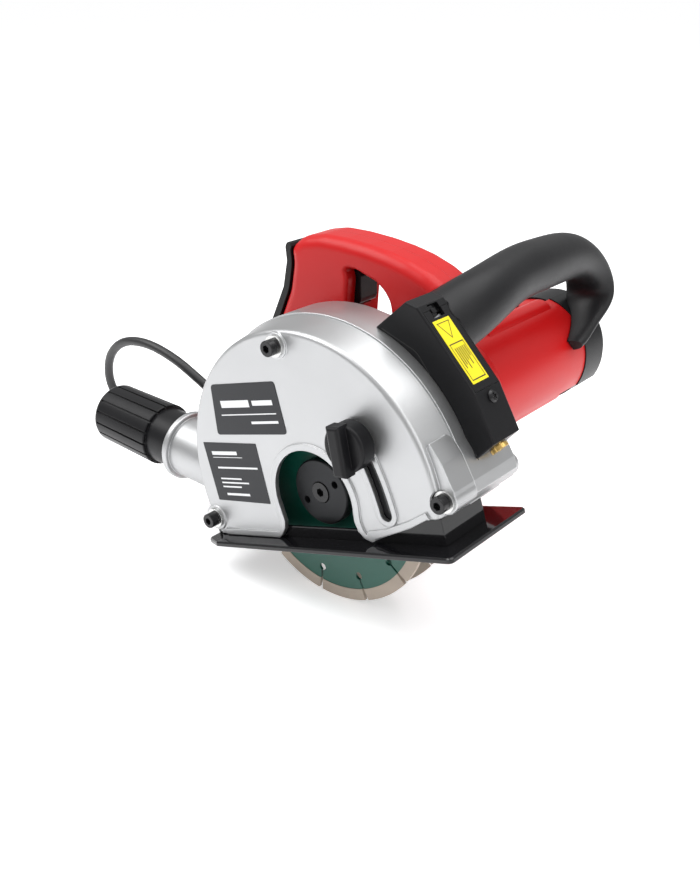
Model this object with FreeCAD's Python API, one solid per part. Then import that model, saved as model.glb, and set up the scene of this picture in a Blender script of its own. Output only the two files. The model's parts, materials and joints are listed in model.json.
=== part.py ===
import FreeCAD, Part
import math
import os

V = FreeCAD.Vector

# Twin-disc wall chaser. Everything is modelled square to its base plate: x runs
# forwards, y along the spindle towards the motor, z away from the base plate, with
# the spindle's axis at the origin half way between the two discs. The finished
# pieces are then pitched nose-up and moved so that the discs stand on z = 0.

PITCH = 18.0              # nose-up angle at which the tool stands, degrees

# cutting discs
DISC_R = 75.0
SEGMENT_ROOT_R = 67.4
DISC_BORE_R = 11.1
DISC_OFFSET = 12.5        # of each disc from the middle plane
CORE_T = 1.8
SEGMENT_T = 2.4
SEGMENTS = 12

# guard, in two halves that part beside the middle plane; both widen towards the seam
GUARD_X = 0.5
GUARD_Z = 6.2
GUARD_R = 98.2            # at the near face
SEAM_R = 102.4            # of the near half where the halves meet
BODY_R = 103.2            # of the far half
BACK_R = 97.0             # of the far half's back
GUARD_WALL = 2.6
FACE_Y = -31.5            # outside of the near half
FACE_T = 2.1
PARTING_Y = -8.0
TAPER_Y = 21.0            # where the far half starts to taper
BACK_Y = 33.0             # outside of the far half
BACK_T = 3.6
GUARD_FOOT_Z = -26.2

# access arch in the near half
ARCH_X = 5.2
ARCH_Z = -0.1
ARCH_R = 31.4

# through screws of the guard
TOP_SCREW = (7.4, 95.6)
FRONT_SCREW = (101.0, -1.0)
PIVOT = (-91.5, -14.5)
BOSS_R = 8.0
M8_R = 4.0
M6_R = 3.0
WASHER_R = 6.6

# depth clamp
SWING = 16.0              # travel of the base plate, degrees
CLAMP_R = 152.7           # of the clamp bolt from the pivot
CLAMP_A = 19.2            # its angle at full depth
SLOT_HALF = 4.35

# base plate
PLATE_X0 = -97.0
PLATE_X1 = 110.5
PLATE_Y0 = -44.5
PLATE_Y1 = 31.5
PLATE_TOP = -26.7
PLATE_T = 3.0

# transmission
MODULE = 1.5
GEAR_TEETH = 40
PINION_TEETH = 10
CENTRES = MODULE * (GEAR_TEETH + PINION_TEETH) / 2.0
MOTOR_X = 25.0
MOTOR_Z = math.sqrt(CENTRES ** 2 - MOTOR_X ** 2)
MESH_A = math.degrees(math.atan2(MOTOR_Z, MOTOR_X))

# motor
CASE_Y0 = BACK_Y
CASE_Y1 = 76.0
HOUSING_Y1 = 203.0
CAP_Y1 = 236.0
HOUSING_R = 37.0
FLANGE_R = 43.0

# rear handle, closed
HANDLE_Y0 = 37.0
HANDLE_YM = 55.0
HANDLE_Y1 = 73.0

# dust outlet
DUST_RISE = 20.0          # of its axis above the base plate's plane, degrees
DUST_X = -143.5           # middle of the neck's mouth
DUST_Z = 26.8
NECK_R = 21.6
NECK_BORE_R = 20.3
SLEEVE_R = 20.2
SLEEVE_BORE_R = 17.5

# cord
CORD_R = 3.6

pieces = {}


def vec(p):
    return V(p[0], p[1], p[2])


def box(x0, x1, y0, y1, z0, z1):
    return Part.makeBox(x1 - x0, y1 - y0, z1 - z0, V(x0, y0, z0))


def rod(x, z, r, y0, y1):
    """Cylinder along y."""
    return Part.makeCylinder(r, y1 - y0, V(x, y0, z), V(0, 1, 0))


def ring(x, z, r_out, r_in, y0, y1):
    return rod(x, z, r_out, y0, y1).cut(rod(x, z, r_in, y0 - 1, y1 + 1))


def prism(points, y0, y1):
    """Straight-sided prism of an x-z outline."""
    pts = [V(x, y0, z) for x, z in points]
    face = Part.Face(Part.makePolygon(pts + [pts[0]]))
    return face.extrude(V(0, y1 - y0, 0))


def smooth_prism(points, y0, y1, radius):
    """Prism whose upright corners are rounded by arcs."""
    return Part.Face(rounded_wire(points, y0, radius)).extrude(V(0, y1 - y0, 0))


def rounded_wire(points, y, radius):
    n = len(points)
    edges = []
    start = None
    last = None
    for i in range(n):
        a = points[i - 1]
        b = points[i]
        c = points[(i + 1) % n]
        la = math.hypot(a[0] - b[0], a[1] - b[1])
        lc = math.hypot(c[0] - b[0], c[1] - b[1])
        ua = ((a[0] - b[0]) / la, (a[1] - b[1]) / la)
        uc = ((c[0] - b[0]) / lc, (c[1] - b[1]) / lc)
        dot = max(-1.0, min(1.0, ua[0] * uc[0] + ua[1] * uc[1]))
        half = math.acos(dot) / 2.0
        cut = min(radius / math.tan(half), 0.45 * la, 0.45 * lc)
        r = cut * math.tan(half)
        p = V(b[0] + ua[0] * cut, y, b[1] + ua[1] * cut)
        q = V(b[0] + uc[0] * cut, y, b[1] + uc[1] * cut)
        bis = (ua[0] + uc[0], ua[1] + uc[1])
        lb = math.hypot(bis[0], bis[1])
        reach = r / math.sin(half) - r
        m = V(b[0] + bis[0] / lb * reach, y, b[1] + bis[1] / lb * reach)
        if last is not None:
            edges.append(Part.LineSegment(last, p).toShape())
        else:
            start = p
        edges.append(Part.Arc(p, m, q).toShape())
        last = q
    edges.append(Part.LineSegment(last, start).toShape())
    return Part.Wire(edges)


def sector(x, z, r_out, r_in, a0, a1, y0, y1):
    """Part of a ring about an axis along y, between two angles in the x-z plane."""
    def at(r, a):
        return V(x + r * math.cos(math.radians(a)), y0, z + r * math.sin(math.radians(a)))
    mid = (a0 + a1) / 2.0
    edges = [
        Part.Arc(at(r_out, a0), at(r_out, mid), at(r_out, a1)).toShape(),
        Part.LineSegment(at(r_out, a1), at(r_in, a1)).toShape(),
        Part.Arc(at(r_in, a1), at(r_in, mid), at(r_in, a0)).toShape(),
        Part.LineSegment(at(r_in, a0), at(r_out, a0)).toShape(),
    ]
    return Part.Face(Part.Wire(edges)).extrude(V(0, y1 - y0, 0))


def arc_slot(half, a0, a1, y0, y1):
    """Slot about the base plate's pivot with round ends."""
    body = sector(PIVOT[0], PIVOT[1], CLAMP_R + half, CLAMP_R - half, a0, a1, y0, y1)
    for a in (a0, a1):
        cx = PIVOT[0] + CLAMP_R * math.cos(math.radians(a))
        cz = PIVOT[1] + CLAMP_R * math.sin(math.radians(a))
        body = body.fuse(rod(cx, cz, half, y0, y1))
    return body.removeSplitter()


def turned(shape, angle, x=0.0, z=0.0):
    """Copy turned about an axis along y; positive lifts +x towards +z."""
    out = shape.copy()
    out.rotate(V(x, 0, z), V(0, 1, 0), -angle)
    return out


def spin_z_to(direction):
    return FreeCAD.Rotation(V(0, 0, 1), direction)


def tube_along(p, d, r, length):
    return Part.makeCylinder(r, length, p, d)


def revolve(profile, origin, direction):
    """Solid of revolution of (radius, distance) points about a line."""
    pts = [V(r, 0, s) for r, s in profile]
    face = Part.Face(Part.makePolygon(pts + [pts[0]]))
    solid = face.revolve(V(0, 0, 0), V(0, 0, 1), 360)
    solid.Placement = FreeCAD.Placement(origin, spin_z_to(direction))
    return solid


def hex_socket(x, z, across, y0, y1):
    r = across / math.sqrt(3.0)
    pts = []
    for i in range(6):
        a = math.radians(60 * i + 15)
        pts.append((x + r * math.cos(a), z + r * math.sin(a)))
    return prism(pts, y0, y1)


def socket_screw(x, z, head_y, shank_end, r=M8_R):
    """Socket-head cap screw along y; head_y is the seat of its head."""
    head = rod(x, z, r * 1.62, head_y - 2 * r, head_y)
    head = head.makeFillet(0.5, [e for e in head.Edges if abs(e.BoundBox.YMin - head_y + 2 * r) < 1e-6
                                 and e.BoundBox.YLength < 1e-6])
    screw = head.fuse(rod(x, z, r, head_y - 0.5, shank_end))
    return screw.cut(hex_socket(x, z, 1.5 * r, head_y - 2 * r - 1, head_y - r))


def gear(teeth, y0, y1, bore_r, phase):
    """Involute spur gear with stub teeth, 25 degree pressure angle and backlash."""
    alpha = math.radians(25.0)
    rp = MODULE * teeth / 2.0
    rb = rp * math.cos(alpha)
    ra = rp + 0.8 * MODULE
    rf = rp - 1.1 * MODULE
    inv = math.tan(alpha) - alpha
    half = math.pi / (2 * teeth) - 0.07 / rp
    steps = 7
    pts = []
    for i in range(teeth):
        mid = math.radians(phase) + 2 * math.pi * i / teeth
        side = []
        for k in range(steps):
            r = max(rb, rf) + (ra - max(rb, rf)) * k / (steps - 1)
            t = math.acos(min(1.0, rb / r))
            side.append((r, half + inv - (math.tan(t) - t)))
        if rf < rb:
            side.insert(0, (rf, side[0][1]))
        for r, a in side:
            pts.append((r * math.cos(mid - a), r * math.sin(mid - a)))
        for r, a in reversed(side):
            pts.append((r * math.cos(mid + a), r * math.sin(mid + a)))
    return prism(pts, y0, y1).cut(rod(0, 0, bore_r, y0 - 1, y1 + 1))


def bearing(x, z, r_in, r_out, y0, y1):
    """Sealed ball bearing, with a running fit: grooves mark its rings and shields."""
    body = ring(x, z, r_out, r_in + 0.06, y0, y1)
    wall = (r_out - r_in) * 0.26
    mid = ring(x, z, r_out - wall, r_in + wall, y0 - 1, y0 + 0.6)
    mid2 = ring(x, z, r_out - wall, r_in + wall, y1 - 0.6, y1 + 1)
    return body.cut(mid).cut(mid2)


def largest(shape):
    """The main solid, without slivers that a cut has left loose."""
    return max(shape.Solids, key=lambda solid: solid.Volume)


def compound(shapes):
    return Part.makeCompound(shapes)


# ---------------------------------------------------------------- guard halves

NECK_DIR = V(-math.cos(math.radians(DUST_RISE)), 0, math.sin(math.radians(DUST_RISE)))
NECK_MOUTH = V(DUST_X, 0, DUST_Z)
NECK_START = NECK_MOUTH - NECK_DIR * 66.0


def below_guard(y0, y1):
    """Space under both halves' lower edges, where the base plate swings."""
    return prism([(-130, -60), (-130, GUARD_FOOT_Z), (43, GUARD_FOOT_Z), (57, -21.5), (77, -15.4),
                  (90, -10.0), (130, -10.0), (130, -60)], y0, y1)


def arch(offset, y0, y1):
    """Access opening over the discs' flange, widened by an offset."""
    r = ARCH_R + offset
    left = ARCH_X - r
    right = ARCH_X + r
    legs = [(left, ARCH_Z), (left + 1.2, -15.0), (left - 0.4, -20.0), (left - 4.6, -24.6),
            (left - 9.0, -27.0), (left - 9.0, -40.0), (right + 9.0, -40.0), (right + 9.0, -25.8),
            (right + 3.4, -23.4), (right - 0.4, -19.0), (right - 1.6, -13.0), (right, ARCH_Z)]
    return rod(ARCH_X, ARCH_Z, r, y0, y1).fuse(prism(legs, y0, y1)).removeSplitter()


def guard_cone(r0, r1, y0, y1):
    return Part.makeCone(r0, r1, y1 - y0, V(GUARD_X, y0, GUARD_Z), V(0, 1, 0))


neck_hole = tube_along(NECK_START, NECK_DIR, NECK_R, 80)
# room for the base plate's ears and strip through its whole swing
pivot_room = rod(PIVOT[0], PIVOT[1], BOSS_R + 2.4, FACE_Y + FACE_T + 0.2, 28.5)
pivot_room = pivot_room.fuse(box(-106.0, -80.0, FACE_Y + FACE_T + 0.2, 28.5, -40.0, -21.8))

# the front screw's boss runs into the rim above and below it
BLEND = [(99.0, 32.0), (104.5, 20.0), (108.4, 4.0), (108.9, -3.0), (104.5, -8.2), (92.0, -10.0), (90.0, 20.0)]

near = guard_cone(GUARD_R, SEAM_R, FACE_Y, PARTING_Y)
near = near.makeFillet(3.2, [e for e in near.Edges if abs(e.BoundBox.YMax - FACE_Y) < 1e-6])
for sx, sz in (TOP_SCREW, FRONT_SCREW):
    near = near.fuse(rod(sx, sz, BOSS_R, FACE_Y + (4.5 if sx > 50 else -1.4), PARTING_Y))
near = near.fuse(rod(PIVOT[0], PIVOT[1], BOSS_R + 0.6, FACE_Y - 0.8, PARTING_Y))
near = near.fuse(prism(BLEND, FACE_Y + 4.5, PARTING_Y))
near = near.cut(guard_cone(GUARD_R - GUARD_WALL, SEAM_R - GUARD_WALL, FACE_Y + FACE_T, PARTING_Y))
for sx, sz in (TOP_SCREW, FRONT_SCREW):
    near = near.fuse(rod(sx, sz, BOSS_R - 1.5, FACE_Y + FACE_T - 1, PARTING_Y))
near = near.fuse(rod(PIVOT[0], PIVOT[1], BOSS_R - 1.0, FACE_Y, FACE_Y + FACE_T + 0.2))
near = near.cut(pivot_room)
rim = arch(4.2, FACE_Y - 1.2, FACE_Y + 0.5).common(rod(GUARD_X, GUARD_Z, GUARD_R - 6, FACE_Y - 2, FACE_Y + 1))
near = near.fuse(rim)
foot_rib = prism([(-84, GUARD_FOOT_Z), (-84, GUARD_FOOT_Z + 4.2), (-30, GUARD_FOOT_Z + 4.2),
                  (-30, GUARD_FOOT_Z)], FACE_Y - 1.2, FACE_Y + 0.5)
front_rib = prism([(40, -26), (44, -18.6), (57, -17.2), (77, -11.1), (90, -5.8), (92, -10.2), (77, -15.6)],
                  FACE_Y - 1.2, FACE_Y + 0.5)
near = near.fuse(foot_rib).fuse(front_rib)
near = near.fuse(arc_slot(SLOT_HALF + 3.2, CLAMP_A - SWING - 0.7, CLAMP_A + 0.7, FACE_Y - 1.2, FACE_Y + 0.5))
near = near.cut(arch(0, FACE_Y - 3, FACE_Y + FACE_T + 1))
near = near.cut(arc_slot(SLOT_HALF, CLAMP_A - SWING - 0.7, CLAMP_A + 0.7, FACE_Y - 3, FACE_Y + FACE_T + 1))
near = near.cut(below_guard(FACE_Y - 3, PARTING_Y + 1))
for sx, sz in (TOP_SCREW, FRONT_SCREW, PIVOT):
    near = near.cut(rod(sx, sz, M6_R, FACE_Y - 8, PARTING_Y + 1))
near = near.cut(neck_hole)
near = near.cut(rod(FRONT_SCREW[0], FRONT_SCREW[1], WASHER_R + 0.3, FACE_Y - 10, FACE_Y + 4.5))
near = near.cut(rod(TOP_SCREW[0], TOP_SCREW[1], WASHER_R + 0.3, FACE_Y - 10, FACE_Y - 1.4))
pieces["guard_cover"] = largest(near)

far = rod(GUARD_X, GUARD_Z, BODY_R, PARTING_Y, TAPER_Y).fuse(guard_cone(BODY_R, BACK_R, TAPER_Y, BACK_Y))
far = far.makeFillet(2.4, [e for e in far.Edges if abs(e.BoundBox.YMin - BACK_Y) < 1e-6])
far = far.fuse(prism(BLEND, PARTING_Y, BACK_Y))
far = far.cut(rod(GUARD_X, GUARD_Z, BODY_R - GUARD_WALL, PARTING_Y - 1, TAPER_Y - 1.0))
far = far.cut(guard_cone(BODY_R - GUARD_WALL, BACK_R - GUARD_WALL, TAPER_Y - 1.0, BACK_Y - BACK_T))
far = far.cut(pivot_room)
for sx, sz in (TOP_SCREW, FRONT_SCREW, PIVOT):
    far = far.fuse(rod(sx, sz, BOSS_R - 0.6, PARTING_Y if sx > -50 else BACK_Y - BACK_T - 0.5, BACK_Y + 3.0))
far = far.fuse(rod(0, 0, 27.0, 22.0, BACK_Y))
far = far.cut(rod(0, 0, 21.0, 24.0, BACK_Y + 4)).cut(rod(0, 0, 16.0, 20.0, 25.0))
far = far.cut(rod(MOTOR_X, MOTOR_Z, 9.5, BACK_Y - 1.6, BACK_Y + 1))
far = far.cut(below_guard(PARTING_Y - 1, BACK_Y + 4))
for sx, sz in (TOP_SCREW, FRONT_SCREW, PIVOT):
    far = far.cut(rod(sx, sz, M6_R, PARTING_Y - 1, BACK_Y + 6))
far = far.cut(neck_hole)
pieces["guard_body"] = largest(far)

screws = []
washers = []
for sx, sz in (TOP_SCREW, FRONT_SCREW):
    seat = FACE_Y + 4.5 if sx > 50 else FACE_Y - 1.4
    washers.append(ring(sx, sz, WASHER_R, M6_R, seat - 1.6, seat))
    screws.append(socket_screw(sx, sz, seat - 1.6, BACK_Y + 1, M6_R))
seat = FACE_Y - 0.8
washers.append(ring(PIVOT[0], PIVOT[1], WASHER_R, M6_R, seat - 1.6, seat))
pieces["guard_screws"] = compound(screws)
pieces["guard_washers"] = compound(washers)
pieces["pivot_bolt"] = socket_screw(PIVOT[0], PIVOT[1], seat - 1.6, BACK_Y + 2.5, M6_R)

# ---------------------------------------------------------------- dust outlet

neck = tube_along(NECK_START, NECK_DIR, NECK_R, 66.0)
neck = neck.fuse(revolve([(NECK_R - 1, 61.5), (24.0, 61.5), (24.6, 62.2), (24.6, 65.2), (24.0, 66.0),
                          (NECK_R - 1, 66.0)], NECK_START, NECK_DIR))
neck = neck.cut(tube_along(NECK_START - NECK_DIR, NECK_DIR, NECK_BORE_R, 68.0))
neck = neck.cut(rod(GUARD_X, GUARD_Z, GUARD_R - GUARD_WALL, -40, 40))
neck = neck.cut(rod(PIVOT[0], PIVOT[1], M6_R + 0.3, -40, 40))
pieces["dust_neck"] = neck

COLLAR_L = 22.0
SLEEVE_END = 78.9
FLUTES = 16
FLUTE_R0 = 22.5
FLUTE_R1 = 21.7
sleeve = revolve([(SLEEVE_BORE_R, -18.0), (SLEEVE_R - 0.6, -18.0), (SLEEVE_R, -17.0), (SLEEVE_R, COLLAR_L),
                  (FLUTE_R0 - 0.4, COLLAR_L), (FLUTE_R0, COLLAR_L + 0.8), (FLUTE_R1, SLEEVE_END - 2.5),
                  (FLUTE_R1 - 0.8, SLEEVE_END - 0.7), (FLUTE_R1 - 2.2, SLEEVE_END), (SLEEVE_BORE_R, SLEEVE_END)],
                 V(0, 0, 0), V(0, 0, 1))
grooves = []
for i in range(FLUTES):
    groove = Part.makeBox(4.0, 1.5, SLEEVE_END - COLLAR_L - 2.0, V(SLEEVE_R + 0.7, -0.75, COLLAR_L - 1.0))
    groove.rotate(V(0, 0, 0), V(0, 0, 1), 360.0 * i / FLUTES)
    grooves.append(groove)
sleeve = sleeve.cut(compound(grooves))
sleeve.Placement = FreeCAD.Placement(NECK_MOUTH, spin_z_to(NECK_DIR))
pieces["dust_sleeve"] = sleeve

# ---------------------------------------------------------------- discs and spindle


def disc(y_mid):
    core = rod(0, 0, SEGMENT_ROOT_R, y_mid - CORE_T / 2, y_mid + CORE_T / 2)
    core = core.cut(rod(0, 0, DISC_BORE_R, y_mid - 5, y_mid + 5))
    rim_ring = ring(0, 0, DISC_R, SEGMENT_ROOT_R, y_mid - SEGMENT_T / 2, y_mid + SEGMENT_T / 2)
    cutters = []
    for i in range(SEGMENTS):
        key = rod(58.6, 0, 2.5, y_mid - 5, y_mid + 5)
        key = key.fuse(prism([(58.6, -0.7), (67.0, -0.7), (76.0, -1.7), (76.0, 1.7), (67.0, 0.7), (58.6, 0.7)],
                             y_mid - 5, y_mid + 5))
        cutters.append(turned(key, 360.0 * i / SEGMENTS + 7.0))
    key_all = cutters[0].multiFuse(cutters[1:])
    return core.cut(key_all), rim_ring.cut(key_all)


near_core, near_rim = disc(-DISC_OFFSET)
far_core, far_rim = disc(DISC_OFFSET)
pieces["disc_cores"] = compound([near_core, far_core])
pieces["disc_segments"] = compound(list(near_rim.Solids) + list(far_rim.Solids))

half_core = CORE_T / 2
spacer_span = 2 * (DISC_OFFSET - half_core)
pieces["spacers"] = compound([
    ring(0, 0, 17.0, DISC_BORE_R, -spacer_span / 2, 0.0),
    ring(0, 0, 17.0, DISC_BORE_R, 0.0, spacer_span / 2)])
FLANGE_Y0 = -20.1
FLANGE_Y1 = -DISC_OFFSET - half_core
outer = rod(0, 0, 21.2, FLANGE_Y0, FLANGE_Y1)
outer = outer.makeChamfer(0.8, [e for e in outer.Edges if abs(e.BoundBox.YMax - FLANGE_Y0) < 1e-6])
outer = outer.cut(rod(0, 0, 7.0, FLANGE_Y0 - 1, FLANGE_Y0 + 4.6)).cut(rod(0, 0, M8_R, -30, 0))
for a in (200.0, 20.0):
    hx = 14.2 * math.cos(math.radians(a))
    hz = 14.2 * math.sin(math.radians(a))
    outer = outer.cut(rod(hx, hz, 2.4, FLANGE_Y0 - 1, FLANGE_Y0 + 5))
pieces["outer_flange"] = outer
screw = rod(0, 0, 6.5, FLANGE_Y0 - 0.6, FLANGE_Y0 + 4.6).fuse(rod(0, 0, M8_R, FLANGE_Y0 + 4, 6.0))
pieces["arbor_screw"] = screw.cut(hex_socket(0, 0, 5.0, FLANGE_Y0 - 2, FLANGE_Y0 + 2.6))
back_y = DISC_OFFSET + half_core
pieces["inner_flange"] = ring(0, 0, 21.2, DISC_BORE_R, back_y, back_y + 4.6)

spindle = rod(0, 0, DISC_BORE_R, FLANGE_Y1, back_y + 4.6)
spindle = spindle.fuse(rod(0, 0, 14.0, back_y + 4.6, 24.0)).fuse(rod(0, 0, 10.0, 24.0, 40.0))
spindle = spindle.fuse(rod(0, 0, 9.0, 40.0, 58.0)).fuse(rod(0, 0, 7.5, 58.0, 69.0))
pieces["spindle"] = spindle.cut(rod(0, 0, M8_R, -30, 6.0))
pieces["front_spindle_bearing"] = bearing(0, 0, 10.0, 21.0, 25.0, 36.0)
pieces["rear_spindle_bearing"] = bearing(0, 0, 7.5, 16.0, 59.0, 68.0)

GEAR_Y0 = 43.0
GEAR_Y1 = 55.0
wheel = gear(GEAR_TEETH, GEAR_Y0, GEAR_Y1, 9.0, MESH_A)
for i in range(6):
    a = math.radians(60 * i)
    wheel = wheel.cut(rod(19.5 * math.cos(a), 19.5 * math.sin(a), 4.2, GEAR_Y0 - 1, GEAR_Y1 + 1))
pieces["spindle_gear"] = wheel

# ---------------------------------------------------------------- gear case


def oblong(r0, r1, y0, y1):
    """Outline round the spindle gear and the pinion."""
    d = CENTRES
    a = math.asin((r0 - r1) / d)
    ux, uz = MOTOR_X / d, MOTOR_Z / d
    nx, nz = -uz, ux
    pts = []
    for side in (1, -1):
        cx = ux * math.sin(a) + side * nx * math.cos(a)
        cz = uz * math.sin(a) + side * nz * math.cos(a)
        pair = [(r0 * cx, r0 * cz), (MOTOR_X + r1 * cx, MOTOR_Z + r1 * cz)]
        pts += pair if side == 1 else pair[::-1]
    return prism(pts, y0, y1).fuse(rod(0, 0, r0, y0, y1)).fuse(rod(MOTOR_X, MOTOR_Z, r1, y0, y1)).removeSplitter()


case = oblong(37.5, 25.0, CASE_Y0, CASE_Y1)
case = case.cut(oblong(34.0, 20.0, CASE_Y0 - 1, 57.5))
case = case.cut(rod(0, 0, 21.0, CASE_Y0 - 1, 36.5))
case = case.cut(rod(0, 0, 16.0, 57, 68.0)).cut(rod(0, 0, 10.0, 67, 70.0))
case = case.cut(rod(MOTOR_X, MOTOR_Z, 14.0, 62.0, CASE_Y1 + 1)).cut(rod(MOTOR_X, MOTOR_Z, 10.0, 57, 63))
case = case.cut(rod(TOP_SCREW[0], TOP_SCREW[1], BOSS_R, CASE_Y0 - 1, 40))
lock_hole_z = -25.0
case = case.cut(Part.makeCylinder(3.05, 20, V(-22.0, 49.0, lock_hole_z - 12), V(0, 0, 1)))
pieces["gear_case"] = case

# ---------------------------------------------------------------- motor

shaft = rod(MOTOR_X, MOTOR_Z, 5.0, 58.0, 222.0).fuse(rod(MOTOR_X, MOTOR_Z, 6.0, 58.0, 98.0))
pinion = gear(PINION_TEETH, 42.0, 58.0, 0.01, MESH_A + 180.0 + 180.0 / PINION_TEETH)
pinion = pinion.fuse(rod(0, 0, 3.0, 42.0, 58.0))
pinion.translate(V(MOTOR_X, 0, MOTOR_Z))
pieces["armature_shaft"] = shaft.fuse(pinion).removeSplitter()
core = ring(MOTOR_X, MOTOR_Z, 19.6, 5.0, 104.0, 158.0)
slots = []
for i in range(12):
    slot = box(15.5, 20.5, 103, 159, -1.0, 1.0)
    slots.append(turned(slot, 30.0 * i))
slot_all = slots[0].multiFuse(slots[1:])
slot_all.translate(V(MOTOR_X, 0, MOTOR_Z))
pieces["armature_core"] = core.cut(slot_all)
pieces["armature_windings"] = compound([
    ring(MOTOR_X, MOTOR_Z, 17.0, 6.5, 98.5, 104.0).cut(rod(MOTOR_X, MOTOR_Z, 6.0, 90, 99)),
    ring(MOTOR_X, MOTOR_Z, 17.0, 5.0, 158.0, 165.0)])
commutator = ring(MOTOR_X, MOTOR_Z, 13.5, 5.0, 168.0, 190.0)
bars = []
for i in range(24):
    bars.append(turned(box(12.6, 14.5, 167, 191, -0.25, 0.25), 15.0 * i))
bar_all = bars[0].multiFuse(bars[1:])
bar_all.translate(V(MOTOR_X, 0, MOTOR_Z))
pieces["commutator"] = commutator.cut(bar_all)
fan = ring(MOTOR_X, MOTOR_Z, 33.0, 6.0, 92.0, 94.0).fuse(ring(MOTOR_X, MOTOR_Z, 10.0, 6.0, 82.0, 94.0))
for i in range(12):
    blade = box(9.0, 32.0, 83.0, 92.5, -0.8, 0.8)
    blade.rotate(V(20, 0, 0), V(0, 1, 0), 22)
    blade = turned(blade, 30.0 * i)
    blade.translate(V(MOTOR_X, 0, MOTOR_Z))
    fan = fan.fuse(blade)
fan = fan.common(rod(MOTOR_X, MOTOR_Z, 33.0, 80, 95)).cut(rod(MOTOR_X, MOTOR_Z, 6.0, 70, 99))
pieces["fan"] = fan.removeSplitter()
pieces["front_motor_bearing"] = bearing(MOTOR_X, MOTOR_Z, 6.0, 14.0, 63.0, 73.0)
pieces["rear_motor_bearing"] = bearing(MOTOR_X, MOTOR_Z, 5.0, 11.0, 211.0, 219.0)

stator = ring(MOTOR_X, MOTOR_Z, 33.6, 20.4, 104.0, 158.0)
for side in (-1, 1):
    gap = box(MOTOR_X - 9, MOTOR_X + 9, 100, 160, MOTOR_Z + side * 24 - 4.0, MOTOR_Z + side * 24 + 4.0)
    stator = stator.cut(gap)
pieces["field_stator"] = stator
coils = []
for side in (-1, 1):
    coils.append(box(MOTOR_X - 8.5, MOTOR_X + 8.5, 100.5, 161.5, MOTOR_Z + side * 24 - 3.4,
                     MOTOR_Z + side * 24 + 3.4))
pieces["field_coils"] = compound(coils)

holders = []
brushes = []
springs = []
caps = []
for side in (-1, 1):
    r0 = 15.0
    holder = box(MOTOR_X - 5.0, MOTOR_X + 5.0, 173, 185, MOTOR_Z + min(side * r0, side * 34.2),
                 MOTOR_Z + max(side * r0, side * 34.2))
    bore = box(MOTOR_X - 3.6, MOTOR_X + 3.6, 174.8, 183.2, MOTOR_Z - 60, MOTOR_Z + 60)
    holders.append(holder.cut(bore))
    lo, hi = side * 13.8, side * 25.0
    brushes.append(box(MOTOR_X - 3.3, MOTOR_X + 3.3, 175.1, 182.9, MOTOR_Z + min(lo, hi), MOTOR_Z + max(lo, hi)))
    lo, hi = side * 25.0, side * 34.0
    springs.append(Part.makeCylinder(2.6, abs(hi - lo), V(MOTOR_X, 179, MOTOR_Z + min(lo, hi)), V(0, 0, 1)))
    lo, hi = side * 34.2, side * 37.6
    cap = Part.makeCylinder(7.0, abs(hi - lo), V(MOTOR_X, 179, MOTOR_Z + min(lo, hi)), V(0, 0, 1))
    groove = box(MOTOR_X - 5.0, MOTOR_X + 5.0, 178.3, 179.7, MOTOR_Z + min(side * 36.6, side * 39),
                 MOTOR_Z + max(side * 36.6, side * 39))
    caps.append(cap.cut(groove))
pieces["brush_holders"] = compound(holders)
pieces["brushes"] = compound(brushes)
pieces["brush_springs"] = compound(springs)
pieces["brush_caps"] = compound(caps)

housing = rod(MOTOR_X, MOTOR_Z, HOUSING_R, 96.0, HOUSING_Y1)
throat = Part.makeCone(FLANGE_R, HOUSING_R, 14.0, V(MOTOR_X, 88.0, MOTOR_Z), V(0, 1, 0))
housing = housing.fuse(rod(MOTOR_X, MOTOR_Z, FLANGE_R, CASE_Y1, 88.0)).fuse(throat)
shoulder = sector(MOTOR_X, MOTOR_Z, HOUSING_R + 2.6, HOUSING_R - 1.0, -48.0, 62.0, 88.0, HOUSING_Y1)
housing = housing.fuse(shoulder)
LOBE = (MOTOR_X + 8.7, MOTOR_Z - 27.2)
RIDGE = (MOTOR_X + 16.0, MOTOR_Z + 27.7)
housing = housing.fuse(rod(LOBE[0], LOBE[1], 10.6, 88.0, 194.0))
housing = housing.fuse(rod(RIDGE[0], RIDGE[1], 10.0, 114.0, 192.0))
housing = housing.cut(rod(MOTOR_X, MOTOR_Z, 34.2, CASE_Y1 + 3, HOUSING_Y1 + 1))
housing = housing.cut(rod(MOTOR_X, MOTOR_Z, 14.6, CASE_Y1 - 1, CASE_Y1 + 4))
housing = housing.cut(Part.makeCylinder(7.0, 120, V(MOTOR_X, 179, MOTOR_Z - 60), V(0, 0, 1)))
pieces["motor_housing"] = housing

end_cap = rod(MOTOR_X, MOTOR_Z, HOUSING_R + 1.4, HOUSING_Y1, CAP_Y1)
end_cap = end_cap.makeFillet(5.0, [e for e in end_cap.Edges if abs(e.BoundBox.YMin - CAP_Y1) < 1e-6])
end_cap = end_cap.fuse(sector(MOTOR_X, MOTOR_Z, HOUSING_R + 3.4, HOUSING_R - 1.0, -48.0, 62.0, HOUSING_Y1,
                              CAP_Y1 - 8))
end_cap = end_cap.cut(rod(MOTOR_X, MOTOR_Z, 34.2, HOUSING_Y1 - 1, CAP_Y1 - 3))
end_cap = end_cap.fuse(ring(MOTOR_X, MOTOR_Z, 14.0, 11.0, 209.0, CAP_Y1 - 2))
for a in range(0, 360, 45):
    web = box(13.0, 35.5, 222.0, CAP_Y1 - 2, -1.2, 1.2)
    web = turned(web, a + 22.5)
    web.translate(V(MOTOR_X, 0, MOTOR_Z))
    end_cap = end_cap.fuse(web)
vents = []
for a in range(132, 300, 12):
    vent = turned(box(30.0, 45.0, 209.0, 226.0, -1.5, 1.5), a)
    vents.append(vent)
vent_all = vents[0].multiFuse(vents[1:])
vent_all.translate(V(MOTOR_X, 0, MOTOR_Z))
end_cap = end_cap.cut(vent_all)
end_vents = []
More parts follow.
